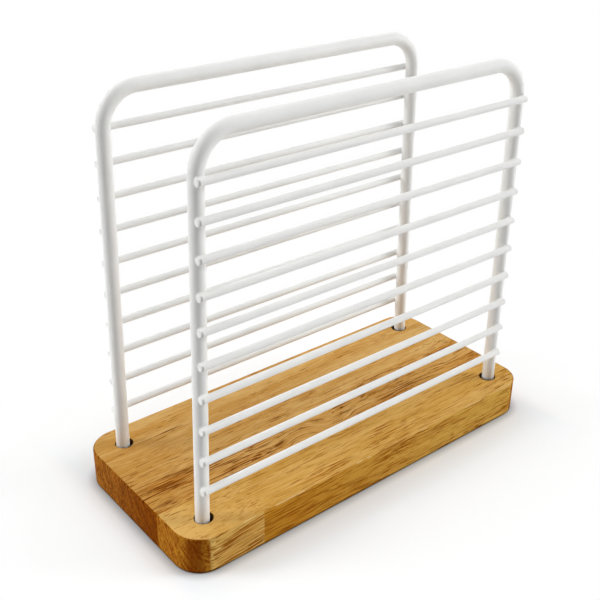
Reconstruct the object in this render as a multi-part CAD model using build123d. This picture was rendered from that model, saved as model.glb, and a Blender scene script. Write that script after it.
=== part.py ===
from build123d import *
import math
import os

# A napkin holder: a wooden board with two welded wire frames that stand in blind sockets.
# Millimetres and degrees, +Z up. The origin is the middle of the board's underside.
# +X runs along the board, and the front frame stands on the -Y side.

# Board
board_length = 200.0
board_width = 88.0
board_thickness = 17.5
board_corner_radius = 12.8
board_arris_radius = 0.8

# Pieces of wood that the board is glued from
front_stave_width = 25.0
short_block_length = 35.6
finger_length = 8.0
finger_tip_width = 0.6
fingers = 6

# Wire frames, coating included
rod_diameter = 6.0
wire_diameter = 3.1
hoop_edge_inset = 12.2
leg_end_inset = 13.6
leg_splay = 1.5
hoop_rise = 159.1
hoop_bend_radius = 15.5
rod_end_chamfer = 0.4

# Cross wires on each frame
wires_per_frame = 10
lowest_wire_rise = 16.4
top_wire_drop = 0.4
wire_overhang = 1.7
wire_end_round = 0.6
front_wire_shift = -1.0
rear_wire_shift = 0.0
weld_set_down = 0.35

# Sockets in the board
socket_depth = 13.0
socket_play = 1.5
socket_wall_clearance = 0.12

# Every cut and every splitting block runs this far past the faces that it goes through
overrun = 5.0

# Places that follow from the sizes above
glue_line_y = front_stave_width - board_width / 2
finger_root_x = short_block_length - board_length / 2
hoop_y = board_width / 2 - hoop_edge_inset
leg_x_at_board = board_length / 2 - leg_end_inset
leg_slope = math.tan(math.radians(leg_splay))
leg_end_z = board_thickness - socket_depth
top_bar_z = board_thickness + hoop_rise
bend_run = hoop_bend_radius * math.tan(math.radians((90 - leg_splay) / 2))
bend_end_z = top_bar_z - bend_run * math.cos(math.radians(leg_splay))
lowest_wire_z = board_thickness + lowest_wire_rise
wire_pitch = (bend_end_z - top_wire_drop - lowest_wire_z) / (wires_per_frame - 1)
wire_offset_y = (rod_diameter + wire_diameter) / 2 - weld_set_down
socket_radius = (rod_diameter + socket_play) / 2


def leg_x(z):
    """Distance of a leg's axis from the middle of the board, at a height above the table."""
    return leg_x_at_board - (z - board_thickness) * leg_slope


def wire_z(number):
    """Height of a cross wire's axis. Wire 1 is the lowest."""
    return lowest_wire_z + (number - 1) * wire_pitch


# Board


def board_blank():
    """The whole board, rounded at its corners and eased along its edges, before it is drilled."""
    outline = RectangleRounded(board_length, board_width, board_corner_radius)
    blank = extrude(outline, board_thickness)
    rims = blank.faces().sort_by(Axis.Z)[0].edges() + blank.faces().sort_by(Axis.Z)[-1].edges()
    return fillet(rims, board_arris_radius)


def sockets():
    """Four blind holes. Each stands so that the splayed leg's end just clears its outer wall."""
    leg_end_reach = leg_x(leg_end_z) + rod_diameter / 2 + socket_wall_clearance
    socket_x = leg_end_reach - socket_radius
    drill = Cylinder(socket_radius, socket_depth + overrun, align=(Align.CENTER, Align.CENTER, Align.MIN))
    places = [Pos(sx * socket_x, sy * hoop_y, leg_end_z) for sx in (-1, 1) for sy in (-1, 1)]
    return [place * drill for place in places]


def finger_joint_line():
    """Points of the joint between the two front blocks, from the front face back to the glue line."""
    pitch = front_stave_width / fingers
    flank = pitch / 2 - finger_tip_width
    root_x = finger_root_x
    tip_x = finger_root_x + finger_length
    y = -board_width / 2
    points = [(root_x, y - overrun), (root_x, y)]
    for _ in range(fingers):
        points += [
            (root_x, y + finger_tip_width / 2),
            (tip_x, y + finger_tip_width / 2 + flank),
            (tip_x, y + finger_tip_width * 3 / 2 + flank),
            (root_x, y + finger_tip_width * 3 / 2 + flank * 2),
        ]
        y += pitch
    return points + [(root_x, glue_line_y)]


def tall_block(points):
    """A block with this outline that runs past the board's top and underside."""
    outline = make_face(Polyline(*points, close=True))
    return Pos(0, 0, -overrun) * extrude(outline, board_thickness + overrun * 2)


def wood_pieces():
    """The drilled board, divided along its glue line and its finger joint."""
    end = board_length / 2 + overrun
    side = board_width / 2 + overrun
    drilled = board_blank() - sockets()
    joint = finger_joint_line()
    rear = tall_block([(-end, glue_line_y), (end, glue_line_y), (end, side), (-end, side)])
    left = tall_block([(-end, -side), *joint, (-end, glue_line_y)])
    right = tall_block([*joint, (end, glue_line_y), (end, -side)])
    return {
        "base_rear_stave": drilled & rear,
        "base_front_short_block": drilled & left,
        "base_front_long_block": drilled & right,
    }


# Wire frames


def wire_blank(number, side, shift):
    """A straight cross wire with rounded ends, outside its hoop. side is -1 in front and 1 behind."""
    z = wire_z(number)
    length = (leg_x(z) + wire_overhang) * 2
    bar = Cylinder(wire_diameter / 2, length, rotation=(0, 90, 0))
    rounded = fillet(bar.edges().filter_by(GeomType.CIRCLE), wire_end_round)
    return Pos(shift, side * (hoop_y + wire_offset_y), z) * rounded


def hoop(side, wires):
    """A bent rod with two splayed legs, hollowed a little where each wire is welded on."""
    foot_z = leg_end_z - overrun
    corners = [
        (-leg_x(foot_z), 0, foot_z),
        (-leg_x(top_bar_z), 0, top_bar_z),
        (leg_x(top_bar_z), 0, top_bar_z),
        (leg_x(foot_z), 0, foot_z),
    ]
    path = FilletPolyline(*corners, radius=hoop_bend_radius)
    rod = sweep(Plane(origin=path @ 0, z_dir=path % 0) * Circle(rod_diameter / 2), path)
    trimmed = split(rod, Plane.XY.offset(leg_end_z), keep=Keep.TOP)
    feet = [face.edges() for face in trimmed.faces().sort_by(Axis.Z)[:2]]
    eased = chamfer(feet[0] + feet[1], rod_end_chamfer)
    return Pos(0, side * hoop_y, 0) * eased - wires


def frame_pieces(name, side, shift):
    """One frame's nodes: its hoop, and its cross wires, numbered from the lowest and shifted along X."""
    numbers = range(1, wires_per_frame + 1)
    wires = {f"{name}_wire_{number:02d}": wire_blank(number, side, shift) for number in numbers}
    return {f"{name}_hoop": hoop(side, list(wires.values())), **wires}


pieces = {
    **wood_pieces(),
    **frame_pieces("front", -1, front_wire_shift),
    **frame_pieces("rear", 1, rear_wire_shift),
}

os.makedirs("parts", exist_ok=True)
for node, shape in pieces.items():
    export_step(shape, f"parts/{node}.step")
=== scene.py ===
import math

import bpy
from mathutils import Matrix, Vector

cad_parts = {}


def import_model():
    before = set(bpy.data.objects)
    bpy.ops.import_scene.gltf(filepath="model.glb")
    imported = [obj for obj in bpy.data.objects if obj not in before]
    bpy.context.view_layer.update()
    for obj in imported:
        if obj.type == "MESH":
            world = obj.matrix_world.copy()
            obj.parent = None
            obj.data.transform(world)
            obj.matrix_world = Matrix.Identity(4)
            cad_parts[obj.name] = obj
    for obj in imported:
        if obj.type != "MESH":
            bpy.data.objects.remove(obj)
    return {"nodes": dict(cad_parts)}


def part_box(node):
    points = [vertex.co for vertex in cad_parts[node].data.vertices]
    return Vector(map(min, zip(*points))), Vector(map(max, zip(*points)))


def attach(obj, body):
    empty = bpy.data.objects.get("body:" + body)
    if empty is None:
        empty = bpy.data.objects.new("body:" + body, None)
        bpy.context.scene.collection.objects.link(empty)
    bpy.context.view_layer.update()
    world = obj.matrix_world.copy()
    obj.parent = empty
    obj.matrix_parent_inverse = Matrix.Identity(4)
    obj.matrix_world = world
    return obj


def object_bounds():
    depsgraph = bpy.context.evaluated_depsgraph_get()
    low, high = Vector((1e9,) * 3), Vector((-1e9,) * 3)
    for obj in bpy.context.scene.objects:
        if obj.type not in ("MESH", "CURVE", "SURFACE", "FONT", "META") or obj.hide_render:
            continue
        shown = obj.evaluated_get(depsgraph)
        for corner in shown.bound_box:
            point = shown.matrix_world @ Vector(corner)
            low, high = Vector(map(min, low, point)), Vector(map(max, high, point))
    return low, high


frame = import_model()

# The looks of a napkin holder: a wooden board and two white-coated wire frames.
# The shared frame is in metres, +Z up, with the front frame on the -Y side.
# Sizes and materials are written in millimetres, and scaled by MM.

cad_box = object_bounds()
scene = bpy.context.scene
nodes = frame["nodes"]
MM = 0.001

# Camera, fitted to the photo. Angles in degrees, place and clipping in millimetres.
CAMERA_YAW = 39.4161
CAMERA_PITCH = -27.7268
CAMERA_ROLL = 0.7388
CAMERA_PLACE = (-241.8331, -280.8837, 270.0629)
CAMERA_LENS = 56.0624
CAMERA_SENSOR = 36.0
CAMERA_NEAR = 10.0
CAMERA_FAR = 50000.0

# Light: two bright sides, a dim back, a dark side towards the camera, and a roof.
# OPEN_SIDE points to the dark side. The edges and ROOF_RUN are runs of the cosine from it, and ROOF_EDGE
# is a run of height.
OPEN_SIDE = (-0.574, -0.819, 0.0)
OPEN_EDGE = (0.22, 0.06)
SIDE_LIGHT = 7.7
BACK_LIGHT = 0.2
BACK_EDGE = (-0.30, -0.18)
ROOF_EDGE = (0.58, 0.70)
ROOF_FRONT_LIGHT = 1.05
ROOF_BACK_LIGHT = 1.18
ROOF_RUN = (-0.3, 0.3)

# Floor, in millimetres. It lies a little under the board, so that their faces don't meet.
FLOOR_REACH = 6000.0
FLOOR_SINK = 0.02

# To the camera the floor has a painted contact shadow where the board touches it, and glows white away from
# the board
FLOOR_SEEN = 1.0
FLOOR_TOUCHED = 0.25
FLOOR_TOUCH_REACH = 5.0
FLOOR_TOUCH_SAMPLES = 8
FLOOR_GLOW_GAP = 75.0
FLOOR_GLOW_PAST_END = 15.0
FLOOR_GLOW_AT_END = 0.58
FLOOR_NEAR_TINT = (0.945, 0.98, 1.0, 1.0)
FLOOR_TINT_GAP = 45.0
FLOOR_TINT_PAST_END = 10.0

# To the object the floor is paler close by than far ahead and far behind, most of all on the left
FLOOR_SPREAD = 0.9
FLOOR_FAR_LEFT = 0.48
FLOOR_FAR_RIGHT = 0.88
FLOOR_LEFT_RUN = (-160.0, 40.0)
FLOOR_FAR_RUN = (80.0, 200.0)

# Coating beads where a wire crosses a leg, in millimetres and degrees
LEG_SPLAY = 1.5
BEAD_GAP = 0.8
BEAD_FOOT = 0.35
BEAD_SINK = 0.03
BEAD_PULL = 0.45
BEAD_STEPS = 24
BEAD_ARC_STEPS = 4
BEAD_HALVINGS = 40
LEAST_COSINE = 0.01

# Drops of coating on the left ends of the front wires, in millimetres
DROP_PROUD = 0.03
DROP_OUT = 0.08
DROP_LENGTH = 0.5
DROP_EDGE = 0.35
DROP_EDGE_STEPS = 4


def rgb(r, g, b):
    return (r, g, b, 1.0)


def node_box(name):
    """The lowest and highest corner of a CAD node, in millimetres."""
    low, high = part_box(name)
    return low / MM, high / MM


class Graph:
    """Builds one node tree from short calls."""

    def __init__(self, owner):
        self.owner = owner
        owner.use_nodes = True
        self.tree = owner.node_tree
        self.tree.nodes.clear()

    def make(self, kind, settings=(), inputs=()):
        """Adds a node, sets its properties and fills its inputs with values or links."""
        node = self.tree.nodes.new(kind)
        for key, value in dict(settings).items():
            setattr(node, key, value)
        for key, value in dict(inputs).items():
            if isinstance(value, bpy.types.NodeSocket):
                self.tree.links.new(value, node.inputs[key])
            else:
                node.inputs[key].default_value = value
        return node

    def coords(self):
        """The object's own coordinates in millimetres, and its own normal."""
        source = self.make("ShaderNodeTexCoord")
        scale = {0: source.outputs["Object"], "Scale": 1 / MM}
        scaled = self.make("ShaderNodeVectorMath", {"operation": "SCALE"}, scale)
        return scaled.outputs[0], source.outputs["Normal"]

    def split(self, vector):
        return self.make("ShaderNodeSeparateXYZ", inputs={0: vector}).outputs

    def join(self, x, y, z):
        return self.make("ShaderNodeCombineXYZ", inputs={0: x, 1: y, 2: z}).outputs[0]

    def vec(self, operation, a, b=(0.0, 0.0, 0.0)):
        return self.make("ShaderNodeVectorMath", {"operation": operation}, {0: a, 1: b}).outputs[0]

    def measure(self, operation, a, b=(0.0, 0.0, 0.0)):
        """A vector operation whose answer is a number."""
        return self.make("ShaderNodeVectorMath", {"operation": operation}, {0: a, 1: b}).outputs["Value"]

    def math(self, operation, a, b=0.0, c=0.0):
        return self.make("ShaderNodeMath", {"operation": operation}, {0: a, 1: b, 2: c}).outputs[0]

    def noise(self, vector, size, detail=2.0, roughness=0.5, output="Fac"):
        """Noise with a mean of about a half. size is how often it changes in a millimetre, each way."""
        inputs = {"Vector": self.vec("MULTIPLY", vector, size), "Scale": 1.0}
        inputs |= {"Detail": detail, "Roughness": roughness}
        return self.make("ShaderNodeTexNoise", {}, inputs).outputs[output]

    def ramp(self, value, low, high, to_low=0.0, to_high=1.0):
        """A smooth step of value from low to high."""
        inputs = {"Value": value, 1: low, 2: high, 3: to_low, 4: to_high}
        return self.make("ShaderNodeMapRange", {"interpolation_type": "SMOOTHSTEP"}, inputs).outputs[0]

    def blend(self, amount, a, b):
        """Mixes two colours."""
        return self.make("ShaderNodeMix", {"data_type": "RGBA"}, {0: amount, 6: a, 7: b}).outputs[2]

    def choose(self, which, a, b):
        """The number a where which is 0, and b where it is 1."""
        return self.make("ShaderNodeMix", {"data_type": "FLOAT"}, {0: which, 2: a, 3: b}).outputs[0]

    def bump(self, height, strength, distance):
        inputs = {"Strength": strength, "Distance": distance, "Height": height}
        return self.make("ShaderNodeBump", {}, inputs).outputs[0]

    def surface(self, inputs):
        """The shader that everything else feeds."""
        shader = self.make("ShaderNodeBsdfPrincipled", {}, inputs)
        self.make("ShaderNodeOutputMaterial", {}, {"Surface": shader.outputs[0]})
        return self.owner

    def seen(self):
        """1 for a ray that comes from the camera, a mirror or glass, and 0 for light that spreads."""
        rays = self.make("ShaderNodeLightPath").outputs
        indirect = self.math("MAXIMUM", rays["Is Glossy Ray"], rays["Is Transmission Ray"])
        return self.math("MAXIMUM", rays["Is Camera Ray"], indirect)


# Wood

# How often each pattern changes in a millimetre: along the grain, and across it both ways
WANDER_SIZE = (0.016, 0.07, 0.07)
BAND_SIZE = (0.012, 0.16, 0.16)
LINE_SIZE = (0.06, 1.6, 1.6)
CLUSTER_SIZE = (0.025, 0.15, 0.15)
STREAK_SIZE = (0.045, 1.1, 1.1)
DASH_SIZE = (0.075, 2.1, 2.1)
FIBRE_SIZE = (0.12, 2.6, 2.6)
PATCH_SIZE = (0.08, 0.2, 0.2)

# The same on end grain: along the rings, across them and along X, and for the specks along X, Y and Z
RING_SIZE = (0.08, 0.8, 0.02)
SPECK_SIZE = (0.2, 1.4, 0.5)

# Weights, and runs of noise between nothing and the full effect
NOISE_MIDDLE = 0.5
BAND_WEIGHT = 0.75
LINE_WEIGHT = 1.15
TONE_RUN = (0.70, 1.20)
FACE_DEEP_SHARE = 0.45
CLUSTER_RUN = (0.35, 0.65)
CLUSTER_SWING = 0.05
STREAK_RUN = (0.55, 0.70)
DASH_SHIFT = (0.0, 40.0, 0.0)
DASH_RUN = (0.60, 0.66)
FIBRE_RUN = (0.50, 0.72)
FIBRE_DEPTH = 0.45
CURL_SHAPE = (0.5, 1.0, 0.0)

# Runs of the normal's parts: onto the front face, the top, the ends, the corners and the two arrises
FACE_TURN = (-0.5, -0.95)
TOP_TURN = (0.6, 0.9)
END_TURN = (0.28, 0.39)
CORNER_TURN = (0.36, 0.5)
ARRIS_TURN = (0.25, 0.6)
UNDERSIDE_TURN = (-0.95, -0.8)

# Single marks: how they wave and fray, and their edge
MARK_SWAY = (0.0, 0.12, 0.0)
MARK_FRAY = 1.6
MARK_EDGE = (1.0, 0.2)

# End grain: the rings' slant in Y and Z, and the weights and depths of what lies on it
RING_SLANT = (0.5, 0.87)
SPECK_WEIGHT = 0.9
END_TONE_RUN = (0.82, 1.08)
END_DEEP_SHARE = 0.85
CORNER_DEPTH = 0.68
END_FRAY = 0.12

# Painted light on the arrises: a painted highlight in pale patches on the upper arris, and painted shade on
# the lower one where the board stands on the floor, by its height in millimetres
PATCH_RUN = (0.54, 0.58)
PATCH_DEPTH = 0.8
FOOT_RISE = (1.6, 0.4)
FOOT_SHADE_DEPTH = 0.75

# Sockets, in millimetres: the middle of each, left and right, front and rear, its radius, and how far
# past that the painted shade inside the socket reaches onto its rim. The painted shade starts just under the
# socket's bottom.
SOCKET_PLACE = (85.75, 31.8, 0.0)
SOCKET_RADIUS = 3.75
SOCKET_SHADE_REACH = (0.5, 0.1)
SOCKET_BOTTOM = (3.0, 4.0)

# Finish
WOOD_ROUGH = 0.45
WOOD_ROUGH_SWING = 0.2
WOOD_SPECULAR = 0.005
WOOD_LINE_HEIGHT = 0.4
WOOD_RELIEF = 0.3
WOOD_RELIEF_DEPTH = 0.12

# The looks of the three pieces of wood. Colours are linear. curl is a middle in X and Y, a reach and a turn.
# A run goes along Y for rich and end, and along X for left and face, from nothing or near to full or far.
REAR = {
    "seed": 0.0, "slope": 0.0, "wander": 7.0, "curl": (-10.0, -12.5, 12.0, 0.5), "calm": -0.06,
    "pale": rgb(0.69, 0.44, 0.162), "deep": rgb(0.55, 0.282, 0.064),
    "streak": rgb(0.39, 0.13, 0.010), "streak_depth": 0.8,
    "dash": rgb(0.15, 0.032, 0.002), "dash_depth": 0.9,
    "rich_run": (14.0, -6.0), "rich_tone": 0.08, "rich_streaks": 0.115,
    "left_run": (-60.0, -98.0), "left_tone": 0.14, "left_streaks": 0.02,
    "face_near": rgb(0.60, 0.33, 0.08), "face_far": rgb(0.60, 0.33, 0.08), "face_run": (-60.0, 60.0),
    "face_streaks": 0.05,
    "end_near": rgb(0.26, 0.066, 0.001), "end_far": rgb(0.41, 0.15, 0.017), "end_run": (-18.0, 30.0),
    # The last two colours on the next line are the painted highlight on the upper arris and the painted shade
    # on the lower arris and in the sockets
    "end_deep": rgb(0.10, 0.017, 0.0005), "painted_highlight": rgb(0.70, 0.46, 0.19), "dark": rgb(0.04, 0.015, 0.004),
    "marks": [
        (-65.0, 27.6, 8.5, 0.7, 0.9), (-67.0, 32.6, 2.5, 0.5, 0.7), (15.0, 7.0, 15.0, 0.5, 0.6),
        (-16.0, 13.9, 4.0, 0.5, 0.7), (-91.0, 6.2, 4.5, 0.6, 0.6), (-80.0, -0.8, 11.0, 0.5, 0.7),
        (-86.0, -5.8, 8.0, 1.0, 0.7), (-93.0, -15.0, 8.0, 1.8, 0.6), (-56.0, -9.2, 9.0, 0.6, 0.8),
        (-40.0, -8.5, 8.0, 0.6, 0.8), (9.0, -5.7, 9.0, 0.6, 0.7), (8.0, -11.0, 9.0, 0.8, 0.7),
        (32.0, -14.0, 9.0, 0.7, 0.7), (50.0, -12.8, 5.0, 0.7, 0.7),
    ],
}
SHORT = {
    "seed": 300.0, "slope": 0.1, "wander": 4.0, "curl": (0.0, 60.0, 1.0, 0.0), "calm": 0.0,
    "pale": rgb(0.69, 0.42, 0.127), "deep": rgb(0.56, 0.30, 0.056),
    "streak": rgb(0.42, 0.15, 0.010), "streak_depth": 0.6,
    "dash": rgb(0.24, 0.07, 0.004), "dash_depth": 0.9,
    "rich_run": (-10.0, -30.0), "rich_tone": 0.0, "rich_streaks": 0.0,
    "left_run": (-84.0, -98.0), "left_tone": -0.3, "left_streaks": -0.03,
    "face_near": rgb(0.72, 0.47, 0.132), "face_far": rgb(0.72, 0.47, 0.132), "face_run": (-90.0, -60.0),
    "face_streaks": 0.06,
    "end_near": rgb(0.48, 0.205, 0.018), "end_far": rgb(0.48, 0.205, 0.018), "end_run": (-44.0, -19.0),
    # The last two colours on the next line are the painted highlight on the upper arris and the painted shade
    # on the lower arris and in the sockets
    "end_deep": rgb(0.19, 0.03, 0.0005), "painted_highlight": rgb(0.72, 0.49, 0.20), "dark": rgb(0.04, 0.015, 0.004),
    "marks": [],
}
LONG = dict(
    SHORT, slope=0.0,
    face_near=rgb(0.555, 0.27, 0.029), face_far=rgb(0.665, 0.40, 0.083), face_run=(-60.0, 50.0),
    marks=[
        (-42.0, -37.3, 4.5, 0.6, 0.6), (-31.0, -32.7, 4.0, 0.6, 0.5), (-15.0, -34.5, 7.0, 0.6, 0.6),
        (33.0, -33.0, 4.0, 0.6, 0.5),
    ],
)


def grain_places(g, place, look):
    """Where the grain is drawn: along X, with a slope, one curl and a slow wander.

    Gives the place without the wander, the wander itself, and the place with it.
    """
    curl_x, curl_y, curl_reach, curl_turn = look["curl"]
    curl_middle = (curl_x, curl_y, 0.0)
    from_curl = g.vec("MULTIPLY", g.vec("SUBTRACT", place, curl_middle), CURL_SHAPE)
    turn = g.ramp(g.measure("LENGTH", from_curl), curl_reach, 0.0, 0.0, curl_turn)
    curl = {"Vector": place, "Center": curl_middle, "Angle": turn}
    curled = g.make("ShaderNodeVectorRotate", {"rotation_type": "Z_AXIS"}, curl).outputs[0]
    slope = g.math("MULTIPLY", g.split(place)[0], -look["slope"])
    sloped = g.vec("ADD", curled, g.join(look["seed"], 0.0, slope))
    wander = g.noise(sloped, WANDER_SIZE, output="Color")
    centred = g.vec("SUBTRACT", wander, (NOISE_MIDDLE, NOISE_MIDDLE, NOISE_MIDDLE))
    wander = g.vec("MULTIPLY", centred, (0.0, look["wander"], look["wander"]))
    return sloped, wander, g.vec("ADD", sloped, wander)


def add_marks(g, colour, place, wander, lines, nz, look):
    """Adds single dark marks on the top: middle x and y, half length, half width, depth."""
    on_top = g.ramp(nz, *TOP_TURN)
    wavy = g.vec("ADD", place, g.vec("MULTIPLY", wander, MARK_SWAY))
    fray = g.math("MULTIPLY", g.math("SUBTRACT", lines, NOISE_MIDDLE), MARK_FRAY)
    for mark_x, mark_y, half_length, half_width, depth in look["marks"]:
        offset = g.vec("SUBTRACT", wavy, (mark_x, mark_y, 0.0))
        from_mark = g.measure("LENGTH", g.vec("MULTIPLY", offset, (1 / half_length, 1 / half_width, 0.0)))
        mark = g.ramp(g.math("ADD", from_mark, fray), *MARK_EDGE, 0.0, depth)
        colour = g.blend(g.math("MULTIPLY", mark, on_top), colour, look["dash"])
    return colour


def add_end_grain(g, colour, place, normal, look):
    """Adds end grain on the ends and round the corners: slanting rings, darker where the corner turns."""
    x, y, z = g.split(place)
    nx, ny, _ = g.split(normal)
    slant_y, slant_z = RING_SLANT
    along = g.math("MULTIPLY_ADD", y, slant_y, g.math("MULTIPLY", z, slant_z))
    across = g.math("MULTIPLY_ADD", y, slant_z, g.math("MULTIPLY", z, -slant_y))
    rings = g.noise(g.join(along, across, x), RING_SIZE, detail=4.0, roughness=0.7)
    specks = g.noise(place, SPECK_SIZE, detail=4.0, roughness=0.7)
    tone = g.ramp(g.math("MULTIPLY_ADD", specks, SPECK_WEIGHT, rings), *END_TONE_RUN)
    pale = g.blend(g.ramp(y, *look["end_run"]), look["end_near"], look["end_far"])
    end_colour = g.blend(tone, pale, g.blend(END_DEEP_SHARE, pale, look["end_deep"]))
    corner = g.math("ABSOLUTE", g.math("MULTIPLY", nx, ny))
    end_colour = g.blend(g.ramp(corner, *CORNER_TURN, 0.0, CORNER_DEPTH), end_colour, look["end_deep"])
    edge = g.math("MULTIPLY_ADD", specks, END_FRAY, g.math("ABSOLUTE", nx))
    return g.blend(g.ramp(edge, *END_TURN), colour, end_colour)


def add_painted_light(g, colour, place, normal, look):
    """Adds a painted highlight in pale patches on the upper arris, and painted shade on the lower arris,
    inside the sockets and on their rims.
    """
    z = g.split(place)[2]
    _, ny, nz = g.split(normal)
    # Painted highlight: pale patches on the upper arris
    arris = g.ramp(g.math("MINIMUM", nz, g.math("ABSOLUTE", ny)), *ARRIS_TURN)
    patches = g.noise(place, PATCH_SIZE)
    painted_highlight = g.math("MULTIPLY", arris, g.ramp(patches, *PATCH_RUN, 0.0, PATCH_DEPTH))
    colour = g.blend(painted_highlight, colour, look["painted_highlight"])
    # Painted shade on the lower arris, where the board stands on the floor
    foot = g.math("MULTIPLY", g.ramp(z, *FOOT_RISE, 0.0, FOOT_SHADE_DEPTH), g.ramp(nz, *UNDERSIDE_TURN))
    colour = g.blend(foot, colour, look["dark"])
    # Painted shade inside each socket and on a thin ring round its rim
    offset = g.vec("SUBTRACT", g.vec("ABSOLUTE", place), SOCKET_PLACE)
    from_socket = g.measure("LENGTH", g.vec("MULTIPLY", offset, (1.0, 1.0, 0.0)))
    rim = g.ramp(from_socket, *(SOCKET_RADIUS + past for past in SOCKET_SHADE_REACH))
    socket_shade = g.math("MULTIPLY", rim, g.ramp(z, *SOCKET_BOTTOM))
    return g.blend(socket_shade, colour, look["dark"])


def wood(name, look):
    """Oiled hardwood with its grain along X, dark streaks and pores as short dashes, and dark ends, with a
    painted highlight on the upper arris and painted shade on the lower arris and in the sockets.
    """
    g = Graph(bpy.data.materials.new(name))
    place, normal = g.coords()
    x, y, _ = g.split(place)
    _, ny, nz = g.split(normal)
    sloped, wander, grain = grain_places(g, place, look)

    # Ground colour: broad bands and fine lines between a pale and a deep tone
    rich = g.ramp(y, *look["rich_run"])
    left = g.ramp(x, *look["left_run"])
    face = g.ramp(ny, *FACE_TURN)
    bands = g.noise(grain, BAND_SIZE)
    lines = g.noise(grain, LINE_SIZE, detail=4.0, roughness=0.7)
    tone = g.math("MULTIPLY_ADD", bands, BAND_WEIGHT, g.math("MULTIPLY", lines, LINE_WEIGHT))
    tone = g.math("MULTIPLY_ADD", rich, look["rich_tone"], tone)
    tone = g.math("MULTIPLY_ADD", left, look["left_tone"], tone)
    face_pale = g.blend(g.ramp(x, *look["face_run"]), look["face_near"], look["face_far"])
    pale = g.blend(face, look["pale"], face_pale)
    deep = g.blend(face, look["deep"], g.blend(FACE_DEEP_SHARE, face_pale, look["streak"]))
    colour = g.blend(g.ramp(tone, *TONE_RUN), pale, deep)

    # Long soft streaks and short dark dashes, in clusters, denser where the wood is rich
    calm = look["calm"]
    cluster = g.noise(sloped, CLUSTER_SIZE)
    cluster = g.ramp(cluster, *CLUSTER_RUN, calm - CLUSTER_SWING, calm + CLUSTER_SWING)
    cluster = g.math("MULTIPLY_ADD", rich, look["rich_streaks"], cluster)
    cluster = g.math("MULTIPLY_ADD", left, look["left_streaks"], cluster)
    cluster = g.math("MULTIPLY_ADD", face, look["face_streaks"], cluster)
    streak = g.noise(grain, STREAK_SIZE, detail=3.0, roughness=0.6)
    streak = g.ramp(g.math("ADD", streak, cluster), *STREAK_RUN, 0.0, look["streak_depth"])
    colour = g.blend(streak, colour, look["streak"])
    dash = g.noise(g.vec("ADD", grain, DASH_SHIFT), DASH_SIZE)
    dash = g.ramp(g.math("ADD", dash, cluster), *DASH_RUN, 0.0, look["dash_depth"])
    colour = g.blend(dash, colour, look["dash"])
    fibre = g.noise(grain, FIBRE_SIZE, detail=3.0, roughness=0.7)
    colour = g.blend(g.ramp(fibre, *FIBRE_RUN, 0.0, FIBRE_DEPTH), colour, look["streak"])

    colour = add_marks(g, colour, place, wander, lines, nz, look)
    colour = add_end_grain(g, colour, place, normal, look)
    # Painted highlight and painted shade on the arrises and in the sockets
    colour = add_painted_light(g, colour, place, normal, look)
    height = g.math("SUBTRACT", g.math("MULTIPLY", lines, WOOD_LINE_HEIGHT), dash)
    return g.surface({
        "Base Color": colour,
        "Roughness": g.math("MULTIPLY_ADD", lines, WOOD_ROUGH_SWING, WOOD_ROUGH),
        "Normal": g.bump(height, WOOD_RELIEF, WOOD_RELIEF_DEPTH * MM),
        "Specular IOR Level": WOOD_SPECULAR,
    })


# Coating

COAT_PALE = rgb(0.85, 0.85, 0.83)
COAT_DULL = rgb(0.82, 0.825, 0.81)
COAT_DRIFT_SIZE = (0.08, 0.08, 0.08)
COAT_DRIFT_RUN = (0.3, 0.7)
COAT_ROUGH = 0.30
COAT_ROUGH_SWING = 0.12
PEEL_SIZE = (0.9, 0.9, 0.9)
PEEL_RELIEF = 0.12
PEEL_DEPTH = 0.15

# Painted shade in the crease behind the drops on the front wires, in millimetres: where it starts and ends
# behind the tip, and how far in front of the board's middle it begins. Then the runs of the normal's rise, and
# its depth.
CREASE_START = (0.1, 0.3)
CREASE_END = (1.2, 0.7)
CREASE_FRONT = (35.0, 35.4)
CREASE_UPPER_TURN = (0.95, 0.45)
CREASE_LOWER_TURN = (-0.95, -0.3)
CREASE_SHADE_DEPTH = 0.55
CREASE_SHADE = rgb(0.12, 0.115, 0.11)


def painted_crease_shade(g, place, normal):
    """How dark the painted shade is in the crease behind the drops on the front wires' left ends, which follow
    the leg's splay.
    """
    low, high = node_box("front_wire_01")
    slope = math.tan(math.radians(LEG_SPLAY))
    tip_at_floor = (low.z + high.z) / 2 * slope - low.x
    x, y, z = g.split(place)
    behind_tip = g.math("ADD", g.math("MULTIPLY_ADD", z, -slope, tip_at_floor), x)
    band = g.math("MULTIPLY", g.ramp(behind_tip, *CREASE_START), g.ramp(behind_tip, *CREASE_END))
    on_wire = g.ramp(g.math("MULTIPLY", y, -1.0), *CREASE_FRONT)
    rise = g.split(normal)[2]
    lower = g.ramp(rise, *CREASE_LOWER_TURN, 0.0, CREASE_SHADE_DEPTH)
    shaded = g.math("MULTIPLY", g.ramp(rise, *CREASE_UPPER_TURN), lower)
    return g.math("MULTIPLY", g.math("MULTIPLY", band, on_wire), shaded)


def coating():
    """Satin white powder coat with a faint orange peel, and painted shade in the crease behind the front
    wires' drops.
    """
    g = Graph(bpy.data.materials.new("white_coating"))
    place, normal = g.coords()
    drift = g.noise(place, COAT_DRIFT_SIZE, detail=3.0)
    peel = g.noise(place, PEEL_SIZE)
    clean = g.blend(g.ramp(drift, *COAT_DRIFT_RUN), COAT_PALE, COAT_DULL)
    return g.surface({
        # The base colour carries the painted shade in the crease behind the drops
        "Base Color": g.blend(painted_crease_shade(g, place, normal), clean, CREASE_SHADE),
        "Roughness": g.math("MULTIPLY_ADD", drift, COAT_ROUGH_SWING, COAT_ROUGH),
        "Normal": g.bump(peel, PEEL_RELIEF, PEEL_DEPTH * MM),
    })


# The object


def dress(names, material):
    """Gives CAD nodes a material and smooth shading."""
    for name in names:
        mesh = nodes[name].data
        mesh.materials.clear()
        mesh.materials.append(material)
        mesh.polygons.foreach_set("use_smooth", [True] * len(mesh.polygons))


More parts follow.
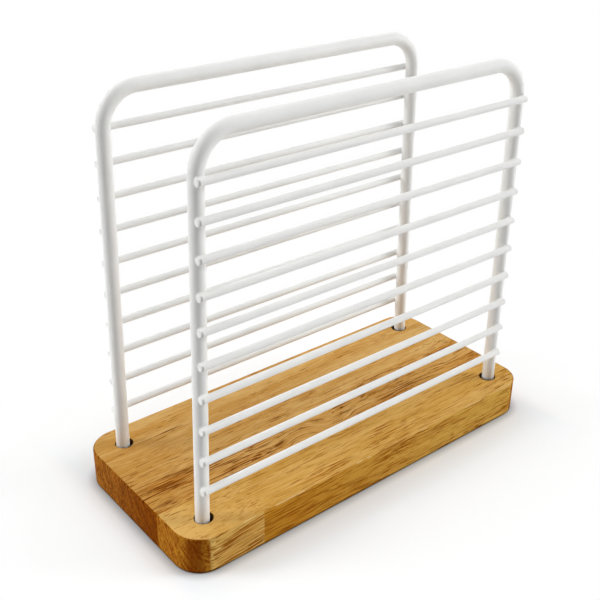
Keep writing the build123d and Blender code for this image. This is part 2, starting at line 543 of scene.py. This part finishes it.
def bead_section(turn, lean, depth, rod_radius, wire_radius, reach):
    """One section of a bead, in one direction about a crossing, as pairs of distance and height.

    Heights are measured from the rod's axis towards the wire. reach is how far the wire goes on that way.
    """
    along_wire = math.cos(turn) + lean * math.sin(turn)
    along_leg = math.sin(turn)

    def rod_height(distance):
        return math.sqrt(max(rod_radius ** 2 - (distance * along_wire) ** 2, 0.0))

    def wire_height(distance):
        return depth - math.sqrt(max(wire_radius ** 2 - (distance * along_leg) ** 2, 0.0))

    def distance_at(gap):
        near = 0.0
        far = rod_radius
        for _ in range(BEAD_HALVINGS):
            middle = (near + far) / 2
            if wire_height(middle) - rod_height(middle) < gap:
                near = middle
            else:
                far = middle
        return near

    contact = distance_at(0.0)
    rim = distance_at(BEAD_GAP)
    foot = rim + BEAD_FOOT
    if reach < foot:
        contact = min(contact, reach / 2)
        rim = contact
        foot = contact + BEAD_SINK
    start = (foot, rod_height(foot) - BEAD_SINK)
    end = (rim, wire_height(rim) + BEAD_SINK)
    pull = (contact + (rim - contact) * BEAD_PULL, (rod_height(rim) + wire_height(rim)) / 2)
    section = [(contact, rod_height(contact))]
    for step in range(BEAD_ARC_STEPS + 1):
        t = step / BEAD_ARC_STEPS
        weights = ((1 - t) ** 2, 2 * t * (1 - t), t ** 2)
        section.append([sum(w * p[i] for w, p in zip(weights, (start, pull, end))) for i in (0, 1)])
    return section


def end_drop(corners, faces, tip, wire_radius):
    """Adds a drop of coating on a wire's left end: a flat button with a round edge, sunk into the wire."""
    first = len(corners)
    full = wire_radius + DROP_PROUD
    flat = full - DROP_EDGE

    # Pairs of distance past the tip and radius. The first two lie in the flat face, to keep its shading flat.
    profile = [(DROP_OUT, flat - DROP_EDGE / 4), (DROP_OUT, flat)]
    for step in range(1, DROP_EDGE_STEPS + 1):
        angle = math.pi / 2 * step / DROP_EDGE_STEPS
        profile.append((DROP_OUT - DROP_EDGE * (1 - math.cos(angle)), flat + DROP_EDGE * math.sin(angle)))
    profile += [(-DROP_LENGTH, full), (-DROP_LENGTH - DROP_EDGE, flat)]
    for out, radius in profile:
        for step in range(BEAD_STEPS):
            turn = 2 * math.pi * step / BEAD_STEPS
            y = tip.y + radius * math.cos(turn)
            z = tip.z + radius * math.sin(turn)
            corners.append(((tip.x - out) * MM, y * MM, z * MM))
    last = len(corners) - BEAD_STEPS
    faces.append(list(range(first, first + BEAD_STEPS))[::-1])
    faces.append(list(range(last, last + BEAD_STEPS)))
    for ring in range(first, last, BEAD_STEPS):
        for step in range(BEAD_STEPS):
            here = ring + step
            there = ring + (step + 1) % BEAD_STEPS
            faces.append((here, there, there + BEAD_STEPS, here + BEAD_STEPS))


def weld_beads(name, body, material):
    """The coating's fillets where a frame's wires cross its legs, and the front wires' drops, all closed."""
    hoop_low, hoop_high = node_box(f"{name}_hoop")
    rod_y = (hoop_low.y + hoop_high.y) / 2
    rod_radius = (hoop_high.y - hoop_low.y) / 2
    slope = math.tan(math.radians(LEG_SPLAY))
    section_size = BEAD_ARC_STEPS + 2
    corners = []
    faces = []
    for wire in sorted(n for n in nodes if n.startswith(f"{name}_wire_")):
        low, high = node_box(wire)
        middle = (low + high) / 2
        wire_radius = (high.z - low.z) / 2
        depth = abs(middle.y - rod_y)
        outward = 1 if middle.y > rod_y else -1
        leg_x = hoop_high.x - rod_radius - (middle.z - hoop_low.z) * slope
        for side in (-1, 1):
            overhang = high.x - leg_x if side > 0 else -leg_x - low.x
            first = len(corners)
            for step in range(BEAD_STEPS):
                turn = 2 * math.pi * step / BEAD_STEPS
                outer = math.cos(turn) * side
                reach = overhang / outer if outer > LEAST_COSINE else math.inf
                section = bead_section(turn, side * slope, depth, rod_radius, wire_radius, reach)
                for distance, height in section:
                    x = side * leg_x + distance * math.cos(turn)
                    z = middle.z + distance * math.sin(turn)
                    corners.append((x * MM, (rod_y + outward * height) * MM, z * MM))
            for step in range(BEAD_STEPS):
                here = first + step * section_size
                there = first + (step + 1) % BEAD_STEPS * section_size
                for i in range(section_size):
                    j = (i + 1) % section_size
                    quad = (here + i, here + j, there + j, there + i)
                    faces.append(quad if outward > 0 else quad[::-1])
        if outward < 0:
            end_drop(corners, faces, Vector((low.x, middle.y, middle.z)), wire_radius)
    mesh = bpy.data.meshes.new(f"{name}_weld_beads")
    mesh.from_pydata(corners, [], faces)
    mesh.polygons.foreach_set("use_smooth", [True] * len(mesh.polygons))
    mesh.materials.append(material)
    beads = bpy.data.objects.new(f"{name}_weld_beads", mesh)
    scene.collection.objects.link(beads)
    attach(beads, body)


white_coating = coating()
dress(["base_rear_stave"], wood("rear_stave_wood", REAR))
dress(["base_front_short_block"], wood("short_block_wood", SHORT))
dress(["base_front_long_block"], wood("long_block_wood", LONG))
dress([n for n in nodes if not n.startswith("base_")], white_coating)
weld_beads("front", "front_frame", white_coating)
weld_beads("rear", "rear_frame", white_coating)


# The stage


def camera():
    """The camera at the photo's place."""
    yaw, pitch, roll = (math.radians(a) for a in (CAMERA_YAW, CAMERA_PITCH, CAMERA_ROLL))
    level = math.cos(pitch)
    ahead = Vector((math.sin(yaw) * level, math.cos(yaw) * level, math.sin(pitch)))
    right = Vector((math.cos(yaw), -math.sin(yaw), 0))
    up = right.cross(ahead)
    turned_right = right * math.cos(roll) + up * math.sin(roll)
    turned_up = up * math.cos(roll) - right * math.sin(roll)
    turn = Matrix((turned_right, turned_up, -ahead)).transposed().to_4x4()
    data = bpy.data.cameras.new("camera")
    data.lens = CAMERA_LENS
    data.sensor_width = CAMERA_SENSOR
    data.clip_start = CAMERA_NEAR * MM
    data.clip_end = CAMERA_FAR * MM
    made = bpy.data.objects.new("camera", data)
    scene.collection.objects.link(made)
    made.matrix_world = Matrix.Translation(Vector(CAMERA_PLACE) * MM) @ turn
    scene.camera = made


def floor_material():
    """To the camera white with the object's shadow, and to everything else a pale floor."""
    g = Graph(bpy.data.materials.new("floor_white"))
    place, _ = g.coords()
    seen = g.seen()
    x, y, _ = g.split(place)

    # Distances past the board's ends and sides, and the gap to the board
    past_end = g.math("MAXIMUM", g.math("SUBTRACT", g.math("ABSOLUTE", x), cad_box[1].x / MM), 0.0)
    past_side = g.math("MAXIMUM", g.math("SUBTRACT", g.math("ABSOLUTE", y), cad_box[1].y / MM), 0.0)
    gap = g.measure("LENGTH", g.join(past_end, past_side, 0.0))

    # Brightness to the camera, with the painted contact shadow near the board, and to everything else
    touch = {"Distance": FLOOR_TOUCH_REACH * MM}
    open_air = g.make("ShaderNodeAmbientOcclusion", {"samples": FLOOR_TOUCH_SAMPLES}, touch).outputs["AO"]
    touched = g.choose(open_air, FLOOR_TOUCHED, FLOOR_SEEN)
    away = g.math("ABSOLUTE", g.measure("DOT_PRODUCT", place, OPEN_SIDE))
    far = g.ramp(x, *FLOOR_LEFT_RUN, FLOOR_FAR_LEFT, FLOOR_FAR_RIGHT)
    spread = g.ramp(away, *FLOOR_FAR_RUN, FLOOR_SPREAD, far)
    shade = g.choose(seen, spread, touched)
    plain_past_end = g.ramp(past_end, 0.0, FLOOR_TINT_PAST_END)
    plain_tint = g.math("MAXIMUM", g.ramp(gap, 0.0, FLOOR_TINT_GAP), plain_past_end)
    tint = g.blend(plain_tint, FLOOR_NEAR_TINT, rgb(1, 1, 1))
    colour = g.vec("MULTIPLY", tint, g.join(shade, shade, shade))

    # The glow away from the board, for the camera alone
    glow_past_end = g.ramp(past_end, 0.0, FLOOR_GLOW_PAST_END, 0.0, FLOOR_GLOW_AT_END)
    glow = g.math("MAXIMUM", g.ramp(gap, 0.0, FLOOR_GLOW_GAP), glow_past_end)
    plain = g.make("ShaderNodeBsdfDiffuse", {}, {"Color": colour}).outputs[0]
    white = g.make("ShaderNodeEmission", {}, {"Color": rgb(1, 1, 1), "Strength": open_air}).outputs[0]
    parts = {0: g.math("MULTIPLY", glow, seen), 1: plain, 2: white}
    mixed = g.make("ShaderNodeMixShader", {}, parts).outputs[0]
    g.make("ShaderNodeOutputMaterial", {}, {"Surface": mixed})
    return g.owner


def floor():
    """A plain square floor round the object."""
    reach = FLOOR_REACH * MM
    level = -FLOOR_SINK * MM
    corners = [(sx * reach, sy * reach, level) for sx, sy in ((-1, -1), (1, -1), (1, 1), (-1, 1))]
    mesh = bpy.data.meshes.new("floor")
    mesh.from_pydata(corners, [], [(0, 1, 2, 3)])
    mesh.materials.append(floor_material())
    made = bpy.data.objects.new("floor", mesh)
    scene.collection.objects.link(made)


def world():
    """White to the camera. To everything else two bright sides, a roof and a dim back."""
    scene.world = bpy.data.worlds.new("studio")
    g = Graph(scene.world)
    way = g.make("ShaderNodeTexCoord").outputs["Generated"]
    level = g.vec("NORMALIZE", g.vec("MULTIPLY", way, (1.0, 1.0, 0.0)))
    toward = g.measure("DOT_PRODUCT", level, OPEN_SIDE)
    walls = g.ramp(toward, *BACK_EDGE, BACK_LIGHT, SIDE_LIGHT)
    walls = g.math("MULTIPLY", walls, g.ramp(toward, *OPEN_EDGE))
    slant = g.measure("DOT_PRODUCT", way, OPEN_SIDE)
    roof = g.ramp(slant, *ROOF_RUN, ROOF_BACK_LIGHT, ROOF_FRONT_LIGHT)
    tent = g.choose(g.ramp(g.split(way)[2], *ROOF_EDGE), walls, roof)
    strength = g.choose(g.seen(), tent, 1.0)
    light = g.make("ShaderNodeBackground", {}, {"Color": rgb(1, 1, 1), "Strength": strength}).outputs[0]
    g.make("ShaderNodeOutputWorld", {}, {"Surface": light})


camera()
floor()
world()
scene.view_settings.view_transform = "Standard"
